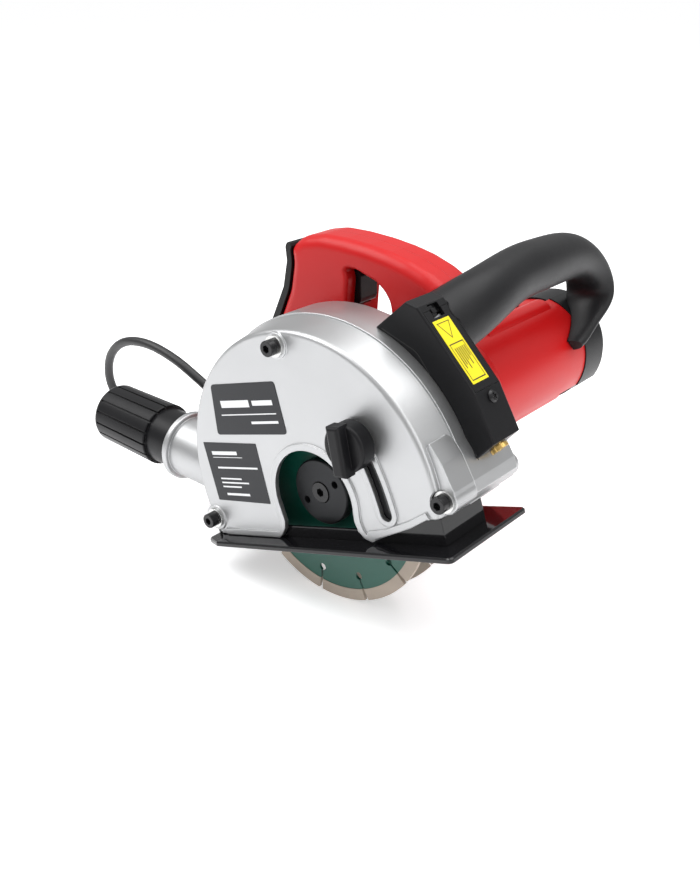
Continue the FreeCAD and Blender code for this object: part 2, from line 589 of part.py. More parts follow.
for k in range(-2, 3):
    end_vents.append(box(MOTOR_X + k * 9.0 - 1.8, MOTOR_X + k * 9.0 + 1.8, CAP_Y1 - 3.5, CAP_Y1 + 1,
                         MOTOR_Z - 24, MOTOR_Z - 15.5))
    end_vents.append(box(MOTOR_X + k * 9.0 - 1.8, MOTOR_X + k * 9.0 + 1.8, CAP_Y1 - 3.5, CAP_Y1 + 1,
                         MOTOR_Z + 15.5, MOTOR_Z + 24))
for cut in end_vents:
    end_cap = end_cap.cut(cut)
pieces["end_cap"] = end_cap

# ---------------------------------------------------------------- base plate

outline = [V(PLATE_X0, PLATE_Y0 + 6, 0), V(PLATE_X0 + 14, PLATE_Y0, 0), V(PLATE_X1, PLATE_Y0, 0),
           V(PLATE_X1, PLATE_Y1, 0), V(PLATE_X0 + 14, PLATE_Y1, 0), V(PLATE_X0, PLATE_Y1 - 6, 0)]
plate = Part.Face(Part.makePolygon(outline + [outline[0]])).extrude(V(0, 0, PLATE_T))
plate.translate(V(0, 0, PLATE_TOP - PLATE_T))
upright = [e for e in plate.Edges if e.BoundBox.ZLength > PLATE_T - 0.1]
plate = plate.makeFillet(3.0, upright)
top_edges = [e for e in plate.Edges if abs(e.BoundBox.ZMin - PLATE_TOP) < 1e-6]
plate = plate.makeChamfer(0.9, top_edges)
plate = plate.cut(box(-77, 77, -17.2, 17.2, PLATE_TOP - 10, PLATE_TOP + 5))
pieces["base_plate"] = plate

WALL_Y0 = FACE_Y + FACE_T + 0.4
WALL_Y1 = WALL_Y0 + 2.0
SHIELD_R = 182.9
RETURN_Y = 9.0
wall = prism([(-97, PLATE_TOP), (91.2, PLATE_TOP), (91.2, -10.0), (88.4, 20.0), (69.0, 50.0), (42.0, 50.0),
              (42.0, -12.0), (38.0, -19.5), (-80.0, -19.5), (-84.0, -8.0), (-97.0, -8.0)], WALL_Y0, WALL_Y1)
wall = wall.fuse(rod(PIVOT[0], PIVOT[1], 9.4, WALL_Y0, WALL_Y1))
wall = wall.cut(prism([(-130, -60), (-130, PLATE_TOP), (130, PLATE_TOP), (130, -60)], WALL_Y0 - 1, WALL_Y1 + 1))
low_a = -math.degrees(math.asin((PIVOT[1] - PLATE_TOP) / (SHIELD_R - 1)))
shield = sector(PIVOT[0], PIVOT[1], SHIELD_R, SHIELD_R - 2.0, low_a, 17.0, WALL_Y0, RETURN_Y)
bracket = wall.fuse(shield)
bracket = bracket.fuse(box(90.5, 97.0, WALL_Y0, RETURN_Y, PLATE_TOP, -10.5))
bracket = bracket.fuse(box(74.0, 91.0, RETURN_Y - 2.0, RETURN_Y, PLATE_TOP, -6.0))
ear = prism([(-97, PLATE_TOP), (-82, PLATE_TOP), (-82, PIVOT[1]), (-101, PIVOT[1])], 24.0, 26.5)
ear = ear.fuse(rod(PIVOT[0], PIVOT[1], 9.4, 24.0, 26.5))
ear = ear.cut(prism([(-130, -60), (-130, PLATE_TOP), (130, PLATE_TOP), (130, -60)], 20, 30))
bracket = bracket.fuse(ear).fuse(box(-97, -82, WALL_Y0, 26.5, PLATE_TOP, PLATE_TOP + 2.5))
bracket = bracket.cut(prism([(-130, -60), (-130, PLATE_TOP), (130, PLATE_TOP), (130, -60)], -60, 60))
clamp_x = PIVOT[0] + CLAMP_R * math.cos(math.radians(CLAMP_A))
clamp_z = PIVOT[1] + CLAMP_R * math.sin(math.radians(CLAMP_A))
bracket = bracket.fuse(rod(clamp_x, clamp_z, 8.0, WALL_Y1 - 1, WALL_Y1 + 7.0))
bracket = bracket.cut(rod(clamp_x, clamp_z, M8_R + 0.06, -40, -10))
bracket = bracket.cut(rod(PIVOT[0], PIVOT[1], M6_R + 0.06, -40, 40))
pieces["base_bracket"] = bracket

# clamp knob with its bolt
knob = rod(clamp_x, clamp_z, 14.5, FACE_Y - 13.5, FACE_Y - 3.0)
knob = knob.makeFillet(2.0, [e for e in knob.Edges if abs(e.BoundBox.YMax - (FACE_Y - 13.5)) < 1e-6])
bar = box(clamp_x - 4.6, clamp_x + 4.6, FACE_Y - 20.5, FACE_Y - 10.0, clamp_z - 15.0, clamp_z + 15.0)
bar = bar.makeFillet(2.2, [e for e in bar.Edges if e.BoundBox.YLength < 1e-6])
knob = knob.fuse(turned(bar, -6.0, clamp_x, clamp_z))
pieces["depth_knob"] = knob.cut(rod(clamp_x, clamp_z, M8_R, FACE_Y - 12, FACE_Y))
bolt = rod(clamp_x, clamp_z, M8_R, FACE_Y - 12, WALL_Y1 + 5.0)
pieces["clamp_bolt"] = bolt
pieces["clamp_washer"] = ring(clamp_x, clamp_z, 11.0, M8_R, FACE_Y - 3.0, FACE_Y - 1.6)

# ---------------------------------------------------------------- rear handle

handle_outer = [(-34, 145), (-22, 150.2), (-5, 148.5), (12, 143.2), (29, 136.6), (44, 129.6), (57, 122.3),
                (69, 113.5), (80, 102.5), (78, 84), (66, 52), (50, 42), (-40, 40), (-66, 20), (-84, -12),
                (-104, -8), (-106, 14), (-90, 56), (-62, 99), (-44, 119), (-35, 136)]
handle_hole = [(9, 126.5), (18.4, 123.6), (25.9, 118.3), (32.6, 113.7), (37, 107), (39, 100.6), (38, 92),
               (34, 64), (-14, 62), (3, 104), (9, 118)]
OUTER_ROUND = 30.0        # the outline's own roundness, in the x-z plane
HOLE_ROUND = 12.0
EDGE_R = 8.0              # crown of the grip
HOLE_EDGE_R = 2.4


def handle_half(y_out, y_in):
    lo, hi = min(y_out, y_in), max(y_out, y_in)
    solid = smooth_prism(handle_outer, lo, hi, OUTER_ROUND)
    edges = [e for e in solid.Edges if e.BoundBox.YLength < 1e-6 and abs(e.BoundBox.YMin - y_out) < 1e-6]
    solid = solid.makeFillet(EDGE_R, edges)
    solid = solid.cut(smooth_prism(handle_hole, lo - 1, hi + 1, HOLE_ROUND))
    x0, x1 = handle_hole[-3][0], handle_hole[5][0]
    edges = [e for e in solid.Edges if e.BoundBox.YLength < 1e-6 and abs(e.BoundBox.YMin - y_out) < 1e-6
             and x0 - 0.5 < e.CenterOfMass.x < x1 + 0.5 and 61.0 < e.CenterOfMass.z < 127.5]
    return solid.makeFillet(HOLE_EDGE_R, edges)


def handle_cavity(lo, hi):
    wire = rounded_wire(handle_outer, lo, OUTER_ROUND)
    inner = wire.makeOffset2D(-5.6)
    body = Part.Face(inner).extrude(V(0, hi - lo, 0))
    hole = rounded_wire(handle_hole, lo - 1, HOLE_ROUND).makeOffset2D(5.6)
    return body.cut(Part.Face(hole).extrude(V(0, hi - lo + 2, 0)))


case_clear = oblong(37.5, 25.0, CASE_Y0, CASE_Y1)
switch_room = box(-40.0, 7.0, HANDLE_YM - 9.5, HANDLE_YM + 9.5, 92.0, 123.0)
trigger_gate = box(-6.0, 26.0, HANDLE_YM - 8.4, HANDLE_YM + 8.4, 100.0, 124.6)
for name, y_out in (("handle_near_half", HANDLE_Y0), ("handle_far_half", HANDLE_Y1)):
    half = handle_half(y_out, HANDLE_YM)
    step = 3.0 if y_out < HANDLE_YM else -3.0
    lo, hi = min(y_out + step, HANDLE_YM), max(y_out + step, HANDLE_YM)
    half = half.cut(handle_cavity(lo, hi))
    half = half.cut(case_clear).cut(trigger_gate)
    pieces[name] = half


rubber = [(-33, 149.5), (-37.5, 147), (-39.5, 137), (-48.5, 121), (-66.5, 101.5), (-95.5, 57), (-88, 54),
          (-58, 99), (-40, 119), (-31, 136)]
grip = smooth_prism(rubber, HANDLE_Y0 + 2.0, HANDLE_Y1 - 2.0, 4.0)
grip = grip.cut(smooth_prism(handle_outer, HANDLE_Y0 - 5, HANDLE_Y1 + 5, OUTER_ROUND))
pieces["rubber_back"] = largest(grip)

# switch, trigger and lock-off button
TRIGGER_PIVOT = (-1.0, 120.5)
trigger = smooth_prism([(-4, 123.6), (11.5, 122.8), (12.6, 118), (8.5, 104), (6.5, 101.4), (-4, 101.4)],
                       HANDLE_YM - 8.0, HANDLE_YM + 8.0, 1.6)
pieces["trigger"] = trigger.cut(rod(TRIGGER_PIVOT[0], TRIGGER_PIVOT[1], 1.56, 0, 100))
pieces["trigger_pin"] = rod(TRIGGER_PIVOT[0], TRIGGER_PIVOT[1], 1.5, HANDLE_Y0 + 3.0, HANDLE_Y1 - 3.0)
pieces["trigger_spring"] = Part.makeCylinder(2.6, 4.6, V(-8.8, HANDLE_YM, 107.0), V(1, 0, 0))
pieces["switch_body"] = box(-30.0, -9.0, HANDLE_YM - 8.0, HANDLE_YM + 8.0, 98.0, 116.5)
LOCK_X = -18.0
LOCK_Z = 127.0
button = rod(LOCK_X, LOCK_Z, 4.5, HANDLE_Y1 - 4.0, HANDLE_Y1 + 2.5)
button = button.fuse(rod(LOCK_X, LOCK_Z, 6.0, HANDLE_Y1 - 6.0, HANDLE_Y1 - 3.5))
pieces["lock_button"] = button.makeFillet(1.0, [e for e in button.Edges
                                                if abs(e.BoundBox.YMin - HANDLE_Y1 - 2.5) < 1e-6])
pieces["handle_far_half"] = pieces["handle_far_half"].cut(rod(LOCK_X, LOCK_Z, 4.8, 60, 90))

# strain relief at the foot of the handle
CORD_RISE = 35.0
relief_start = V(-103.0, HANDLE_YM, 1.0)
relief_dir = V(-math.cos(math.radians(CORD_RISE)), 0, math.sin(math.radians(CORD_RISE)))
RELIEF_L = 45.0
relief_profile = [(0, -9.0), (8.6, -9.0), (8.6, -5.0), (6.4, -5.0), (6.4, 2.0), (7.4, 2.0), (7.4, 6.0), (6.2, 8.0)]
for i in range(5):
    s0 = 11.0 + 6.4 * i
    r0 = 6.1 - 0.38 * i
    relief_profile += [(r0, s0), (r0 - 0.9, s0 + 0.5), (r0 - 0.9, s0 + 2.3), (r0 - 0.2, s0 + 2.8)]
relief_profile += [(4.5, RELIEF_L - 1.0), (4.1, RELIEF_L), (0, RELIEF_L)]
relief = revolve(relief_profile, relief_start, relief_dir)
pieces["cord_guard"] = relief
for name in ("handle_near_half", "handle_far_half"):
    pieces[name] = largest(pieces[name].cut(relief))

# spindle lock under the gear case
LOCK_PIN_X = -22.0
pin = Part.makeCylinder(3.0, 16.5, V(LOCK_PIN_X, 49.0, -45.0), V(0, 0, 1))
pin = pin.fuse(Part.makeCylinder(5.6, 4.0, V(LOCK_PIN_X, 49.0, -46.5), V(0, 0, 1)))
pieces["spindle_lock"] = pin
spring = Part.makeCylinder(4.8, 8.4, V(LOCK_PIN_X, 49.0, -42.0), V(0, 0, 1))
spring = spring.cut(Part.makeCylinder(3.6, 20, V(LOCK_PIN_X, 49.0, -50.0), V(0, 0, 1)))
pieces["spindle_lock_spring"] = spring
seat = Part.makeCylinder(6.5, 12.0, V(LOCK_PIN_X, 49.0, -33.6), V(0, 0, 1))
seat = seat.cut(rod(0, 0, 34.5, 30, 70)).cut(Part.makeCylinder(3.05, 40, V(LOCK_PIN_X, 49.0, -50), V(0, 0, 1)))
pieces["gear_case"] = pieces["gear_case"].fuse(largest(seat))

# ---------------------------------------------------------------- front handle

FRONT_PATH = [
    ((77.0, 28.0, 83.0), 20.0, 19.0),
    ((82.0, 46.0, 87.0), 20.0, 18.5),
    ((86.5, 66.0, 92.0), 18.5, 17.0),
    ((86.0, 91.0, 96.0), 17.2, 16.0),
    ((84.0, 128.0, 97.5), 17.0, 15.5),
    ((81.0, 162.0, 96.0), 16.5, 15.0),
    ((77.5, 191.0, 90.8), 14.5, 14.8),
    ((73.0, 210.5, 78.5), 11.0, 16.5),
    ((68.5, 217.5, 62.5), 7.5, 18.5),
    ((66.5, 208.5, 48.5), 6.0, 16.0),
    ((66.0, 195.0, 38.5), 5.0, 12.0),
    ((66.0, 184.0, 32.0), 4.5, 8.5),
]


def closed_section(centre, tangent, r_in_plane, r_across):
    across = V(1, 0, 0) - tangent * tangent.x
    across.normalize()
    up = tangent.cross(across)
    pts = []
    for k in range(16):
        a = 2 * math.pi * k / 16
        pts.append(centre + up * (r_in_plane * math.cos(a)) + across * (r_across * math.sin(a)))
    curve = Part.BSplineCurve()
    curve.interpolate(Points=pts, PeriodicFlag=True)
    return Part.Wire([curve.toShape()])


sections = []
for i, (p, r_a, r_b) in enumerate(FRONT_PATH):
    before = vec(FRONT_PATH[max(0, i - 1)][0])
    after = vec(FRONT_PATH[min(len(FRONT_PATH) - 1, i + 1)][0])
    tangent = after - before
    tangent.normalize()
    sections.append(closed_section(vec(p), tangent, r_a, r_b))
front = Part.makeLoft(sections, True, False)
front = front.cut(smooth_prism(handle_outer, HANDLE_Y0, HANDLE_Y1, OUTER_ROUND))
front = front.cut(rod(GUARD_X, GUARD_Z, BODY_R + 0.3, -5, BACK_Y + 1.0))
front = front.cut(rod(MOTOR_X, MOTOR_Z, HOUSING_R + 3.4, 88.0, CAP_Y1)).cut(rod(MOTOR_X, MOTOR_Z, FLANGE_R, 70, 90))
pieces["front_handle"] = largest(front)

# ---------------------------------------------------------------- laser unit

LASER_Y0 = 1.3
LASER_Y1 = 27.0
DOOR_A = (88.7, 101.1)
DOOR_B = (114.3, 50.1)
door_len = math.hypot(DOOR_B[0] - DOOR_A[0], DOOR_B[1] - DOOR_A[1])
door_u = ((DOOR_B[0] - DOOR_A[0]) / door_len, (DOOR_B[1] - DOOR_A[1]) / door_len)
door_n = (-door_u[1], door_u[0])


def slab(s0, s1, y0, y1, n0, n1):
    """Block in the door's own directions: along it, across it and out of it."""
    pts = []
    for s, n in ((s0, n0), (s1, n0), (s1, n1), (s0, n1)):
        pts.append((DOOR_A[0] + door_u[0] * s + door_n[0] * n, DOOR_A[1] + door_u[1] * s + door_n[1] * n))
    return prism(pts, y0, y1)


laser_outline = [(54.0, 92.4), (81.4, 105.2), DOOR_A, DOOR_B, (120.6, 21.5), (104.3, 11.8), (85.0, 11.8),
                 (40.0, 80.0)]
laser = prism(laser_outline, LASER_Y0, LASER_Y1)
pieces["front_handle"] = largest(pieces["front_handle"].cut(laser))
laser = laser.makeFillet(1.2, [e for e in laser.Edges if e.BoundBox.YLength < 1e-6
                               and (e.CenterOfMass.x > 60 and e.CenterOfMass.z > 14)])
laser = laser.cut(rod(GUARD_X, GUARD_Z, BODY_R + 0.15, -5, 40))
laser = laser.cut(prism(BLEND, -5, 40))
laser = laser.cut(slab(4.2, door_len - 0.3, LASER_Y0 + 1.4, LASER_Y1 - 1.4, -2.1, 6))
laser = laser.cut(slab(5.8, door_len - 2.0, LASER_Y0 + 2.6, LASER_Y1 - 2.6, -15.0, 0))
laser = laser.cut(slab(0.8, 9.0, 9.4, 18.9, -3.2, 6))
tip = V(112.6, 14.0, 16.75)
aim = V(0.511, 0, -0.859)
aim.normalize()
laser = laser.cut(tube_along(tip - aim * 24.0, aim, 4.5, 40))
screw_x = 115.45
screw_z = 44.9
screw_n = V(0.977, 0, 0.215)
laser = laser.cut(tube_along(V(screw_x, 15.0, screw_z) - screw_n * 9, screw_n, 1.6, 20))
pieces["laser_case"] = largest(laser)
door = slab(4.45, door_len - 0.6, LASER_Y0 + 1.7, LASER_Y1 - 1.7, -2.0, 0.0)
door = door.cut(slab(0.0, 9.3, 9.1, 19.2, -5, 5))
pieces["battery_door"] = door
pieces["laser_switch"] = slab(1.6, 8.2, 10.0, 13.6, -3.1, -0.5).fuse(slab(3.6, 6.2, 10.0, 13.6, -1.0, 0.5))
cells = []
for y in (9.2, 19.1):
    a = V(DOOR_A[0] + door_u[0] * 7.0 - door_n[0] * 8.6, y, DOOR_A[1] + door_u[1] * 7.0 - door_n[1] * 8.6)
    d = V(door_u[0], 0, door_u[1])
    cells.append(tube_along(a, d, 4.8, 43.5).fuse(tube_along(a + d * 43.0, d, 1.9, 1.5)))
pieces["batteries"] = compound(cells)
module = tube_along(tip - aim * 22.0, aim, 4.5, 23.5).fuse(tube_along(tip + aim * 0.6, aim, 5.6, 2.6))
module = module.cut(rod(GUARD_X, GUARD_Z, BODY_R + 0.15, -5, 40))
pieces["laser_module"] = module.cut(tube_along(tip - aim * 1.0, aim, 1.7, 8))


def pan_screw(seat, out, r_head, shank):
    """Cross-recessed pan-head screw; out points away from the work."""
    head = revolve([(0, 0), (r_head, 0), (r_head, 0.8), (r_head * 0.72, 1.9), (0, 2.2)], seat, out)
    body = head.fuse(tube_along(seat - out * shank, out, 1.6, shank + 0.3))
    for turn in (0, 90):
        cross = Part.makeBox(r_head * 1.1, 0.9, 2.0, V(-r_head * 0.55, -0.45, 1.1))
        cross.rotate(V(0, 0, 0), V(0, 0, 1), turn + 20)
        cross.Placement = FreeCAD.Placement(seat, spin_z_to(out)).multiply(cross.Placement)
        body = body.cut(cross)
    return body


small_screws = [pan_screw(V(screw_x, 15.0, screw_z), screw_n, 3.7, 7.0)]
for a in (0, 90, 180, 270):
    sx = MOTOR_X + 27.5 * math.cos(math.radians(a))
    sz = MOTOR_Z + 27.5 * math.sin(math.radians(a))
    pieces["end_cap"] = pieces["end_cap"].cut(rod(sx, sz, 1.6, CAP_Y1 - 10, CAP_Y1 + 1))
    small_screws.append(pan_screw(V(sx, CAP_Y1, sz), V(0, 1, 0), 3.7, 6.0))
pieces["small_screws"] = compound(small_screws)

handle_screws = []
for sx, sz in ((-20, 139.5), (56, 106.0), (-60, 82.0), (-94, 2.0), (58, 58.0)):
    pieces["handle_far_half"] = pieces["handle_far_half"].cut(rod(sx, sz, 1.6, HANDLE_Y1 - 12, HANDLE_Y1 + 2))
    handle_screws.append(pan_screw(V(sx, HANDLE_Y1, sz), V(0, 1, 0), 3.4, 8.0))
pieces["handle_screws"] = compound(handle_screws)

# ---------------------------------------------------------------- standing on the discs

standing = {}
for name, shape in pieces.items():
    out = shape.copy()
    out.rotate(V(0, 0, 0), V(0, 1, 0), -PITCH)
    standing[name] = out

box_all = None
for name, shape in standing.items():
    b = shape.optimalBoundingBox()
    if box_all is None:
        box_all = b
    else:
        box_all.add(b)
shift = V(-(box_all.XMin + box_all.XMax) / 2.0, -(box_all.YMin + box_all.YMax) / 2.0, DISC_R)
print("box", box_all, "lowest", round(box_all.ZMin, 3))
print("origin shift", shift)

# ---------------------------------------------------------------- cord

FLOOR = -DISC_R


def stand(p):
    """Point of the tool's own frame in the pitched frame."""
    a = math.radians(PITCH)
    return V(p.x * math.cos(a) - p.z * math.sin(a), p.y, p.x * math.sin(a) + p.z * math.cos(a))


cord_start = stand(relief_start + relief_dir * RELIEF_L)
LIE = FLOOR + CORD_R
CORD = [
    (cord_start.x, cord_start.y, cord_start.z),
    (-166.0, 52.6, -7.0),
    (-186.0, 50.4, 4.6),
    (-211.0, 48.0, 17.0),
    (-241.0, 46.0, 23.2),
    (-271.0, 46.0, 17.2),
    (-294.0, 48.0, -3.0),
    (-302.0, 53.0, -33.0),
    (-290.0, 63.0, -59.0),
    (-264.0, 78.0, LIE),
    (-240.0, 104.0, LIE),
    (-228.0, 138.0, LIE),
    (-226.9, 172.0, LIE),
    (-226.9, 198.0, LIE),
]
COIL_X = -178.0
COIL_Y = 206.0
TURN_GAP = 7.3            # between the middles of neighbouring turns
TURNS_IN = 27.0           # middle of the innermost turn
TURNS_OUT = TURNS_IN + 3 * TURN_GAP
COIL_R = TURNS_OUT + CORD_R + 0.1
COIL_IN_R = TURNS_IN - CORD_R
COIL_H = 2 * TURN_GAP


def cord_tube(points, radius):
    """Tube of straight runs joined by tangent arcs."""
    pts = [vec(p) for p in points]
    n = len(pts)
    edges = []
    last = pts[0]
    for i in range(1, n - 1):
        back = pts[i - 1] - pts[i]
        ahead = pts[i + 1] - pts[i]
        run = min(back.Length, ahead.Length)
        ub = back.normalize()
        ua = ahead.normalize()
        half = (math.pi - math.acos(max(-1.0, min(1.0, ub.dot(ua))))) / 2.0
        cut = 0.45 * run
        bend = cut / math.tan(half)
        print("cord arc", i, "radius", round(bend, 1), "turn", round(math.degrees(2 * half), 1), "run", round(run, 1))
        p = pts[i] + ub * cut
        q = pts[i] + ua * cut
        bis = (ub + ua).normalize()
        mid = pts[i] + bis * (bend / math.cos(half) - bend)
        edges.append(Part.LineSegment(last, p).toShape())
        edges.append(Part.Arc(p, mid, q).toShape())
        last = q
    edges.append(Part.LineSegment(last, pts[-1]).toShape())
    path = Part.Wire(edges)
    start_dir = (pts[1] - pts[0]).normalize()
    ring_edge = Part.makeCircle(radius, pts[0], start_dir)
    tube = path.makePipeShell([Part.Wire([ring_edge])], True, False)
    print("cord length", round(path.Length, 1), "volume share",
          round(tube.Volume / (math.pi * radius ** 2 * path.Length), 4))
    return tube


tube = cord_tube(CORD, CORD_R)
coil = Part.makeCylinder(COIL_R, COIL_H, V(COIL_X, COIL_Y, FLOOR), V(0, 0, 1))
coil = coil.cut(Part.makeCylinder(COIL_IN_R, COIL_H + 2, V(COIL_X, COIL_Y, FLOOR - 1), V(0, 0, 1)))
coil = coil.makeFillet(3.0, [e for e in coil.Edges if e.BoundBox.ZLength < 1e-6])
PLUG_R = 17.5
plug_x = COIL_X - TURNS_OUT
plug_z = FLOOR + PLUG_R + 0.2
plug = revolve([(0, 0), (4.6, 0), (5.6, 22.0), (9.0, 26.0), (13.0, 34.0), (PLUG_R, 40.0), (PLUG_R, 56.0),
                (PLUG_R - 1.5, 58.0), (0, 58.0)], V(plug_x, COIL_Y + 19.0, plug_z), V(0, 1, 0))
for side in (-1, 1):
    plug = plug.fuse(Part.makeCylinder(2.35, 19.0, V(plug_x + side * 9.5, COIL_Y + 76.5, plug_z), V(0, 1, 0)))
standing["cord_tube"] = tube
standing["cord_coil"] = coil
standing["cord_plug"] = plug

# ---------------------------------------------------------------- writing

os.makedirs("parts", exist_ok=True)
for name, shape in standing.items():
    out = shape.copy()
    out.translate(shift)
    if not out.isValid():
        print("not valid:", name)
    print(name, len(out.Solids), round(out.Volume))
    out.exportStep("parts/" + name + ".step")
print(len(standing), "nodes")
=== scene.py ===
import bpy
import json
import math
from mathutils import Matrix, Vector


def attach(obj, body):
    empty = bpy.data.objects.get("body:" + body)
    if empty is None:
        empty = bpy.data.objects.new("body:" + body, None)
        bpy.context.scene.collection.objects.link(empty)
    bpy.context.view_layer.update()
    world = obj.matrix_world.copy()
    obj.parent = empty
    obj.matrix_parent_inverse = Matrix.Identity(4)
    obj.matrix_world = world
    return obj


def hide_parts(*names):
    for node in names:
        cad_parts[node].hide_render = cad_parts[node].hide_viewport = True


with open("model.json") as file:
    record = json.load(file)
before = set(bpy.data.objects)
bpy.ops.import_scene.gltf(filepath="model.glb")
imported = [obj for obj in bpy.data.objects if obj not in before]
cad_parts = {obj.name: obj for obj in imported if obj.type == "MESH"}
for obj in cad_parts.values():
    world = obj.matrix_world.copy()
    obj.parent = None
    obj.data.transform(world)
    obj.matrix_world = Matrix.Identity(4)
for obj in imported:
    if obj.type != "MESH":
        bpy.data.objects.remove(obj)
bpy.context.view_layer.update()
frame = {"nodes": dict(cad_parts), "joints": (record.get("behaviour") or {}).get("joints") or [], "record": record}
nodes = frame["nodes"]

# ------------------------------------------------------------ places

PITCH = math.radians(18.0)
spin = Vector([j for j in frame["joints"] if j["name"] == "spindle_spin"][0]["pos_m"])


def standing(x, y, z):
    """Point given in millimetres from the spindle's middle, level with the floor."""
    return spin + Vector((x, y, z)) / 1000.0


def tool(x, y, z):
    """Point given in millimetres in the tool's own directions, square to its base plate."""
    c = math.cos(PITCH)
    s = math.sin(PITCH)
    return standing(x * c - z * s, y, x * s + z * c)


# ------------------------------------------------------------ materials

def link(m, a, b):
    """Join two sockets of a material's nodes."""
    m.node_tree.links.new(a, b)


def material(name, colour, rough, metal=0.0, grain=0.0, grain_size=0.5, tone=0.08, edge=0.0, bevel=0.6,
             coat=0.0, coat_rough=0.1, smudge=0.06, spec=0.5):
    """Moulded, cast, painted or machined surface with grain, uneven tone and lightened edges: partly wear, partly
    a painted highlight.

    grain_size and bevel are in millimetres.
    """
    m = bpy.data.materials.new(name)
    m.use_nodes = True
    n = m.node_tree.nodes
    shader = n["Principled BSDF"]
    shader.inputs["Metallic"].default_value = metal
    shader.inputs["Coat Weight"].default_value = coat
    shader.inputs["Coat Roughness"].default_value = coat_rough
    shader.inputs["Specular IOR Level"].default_value = spec
    place = n.new("ShaderNodeTexCoord")
    wide = n.new("ShaderNodeTexNoise")
    wide.inputs["Scale"].default_value = 28.0
    wide.inputs["Detail"].default_value = 5.0
    link(m, place.outputs["Object"], wide.inputs["Vector"])
    dark = n.new("ShaderNodeMix")
    dark.data_type = "RGBA"
    dark.inputs["A"].default_value = [c * (1 - tone) for c in colour] + [1]
    dark.inputs["B"].default_value = [min(1.0, c * (1 + tone)) for c in colour] + [1]
    link(m, wide.outputs["Fac"], dark.inputs["Factor"])
    # rims and edges are lightened in colour: partly wear, partly a painted highlight where they catch the light
    wear_and_highlight = n.new("ShaderNodeMix")
    wear_and_highlight.data_type = "RGBA"
    wear_and_highlight.inputs["B"].default_value = [min(1.0, c * 1.6 + 0.05) for c in colour] + [1]
    link(m, dark.outputs["Result"], wear_and_highlight.inputs["A"])
    link(m, wear_and_highlight.outputs["Result"], shader.inputs["Base Color"])
    soft = n.new("ShaderNodeBevel")
    soft.samples = 6
    soft.inputs["Radius"].default_value = bevel / 1000.0
    shape = n.new("ShaderNodeNewGeometry")
    agree = n.new("ShaderNodeVectorMath")
    agree.operation = "DOT_PRODUCT"
    link(m, soft.outputs["Normal"], agree.inputs[0])
    link(m, shape.outputs["Normal"], agree.inputs[1])
    # mask of the rims that get the lightening, for wear and as a painted highlight
    mask = n.new("ShaderNodeMapRange")
    mask.inputs["From Min"].default_value = 0.985
    mask.inputs["From Max"].default_value = 0.80
    mask.inputs["To Max"].default_value = edge
    link(m, agree.outputs["Value"], mask.inputs["Value"])
    link(m, mask.outputs["Result"], wear_and_highlight.inputs["Factor"])
    patchy = n.new("ShaderNodeTexNoise")
    patchy.inputs["Scale"].default_value = 55.0
    patchy.inputs["Detail"].default_value = 7.0
    link(m, place.outputs["Object"], patchy.inputs["Vector"])
    polish = n.new("ShaderNodeMapRange")
    polish.inputs["To Min"].default_value = max(0.02, rough - smudge)
    polish.inputs["To Max"].default_value = rough + smudge
    link(m, patchy.outputs["Fac"], polish.inputs["Value"])
    link(m, polish.outputs["Result"], shader.inputs["Roughness"])
    fine = n.new("ShaderNodeTexNoise")
    fine.inputs["Scale"].default_value = 1000.0 / grain_size
    fine.inputs["Detail"].default_value = 3.0
    link(m, place.outputs["Object"], fine.inputs["Vector"])
    bump = n.new("ShaderNodeBump")
    bump.inputs["Strength"].default_value = grain
    bump.inputs["Distance"].default_value = 0.0002
    link(m, fine.outputs["Fac"], bump.inputs["Height"])
    link(m, soft.outputs["Normal"], bump.inputs["Normal"])
    link(m, bump.outputs["Normal"], shader.inputs["Normal"])
    return m
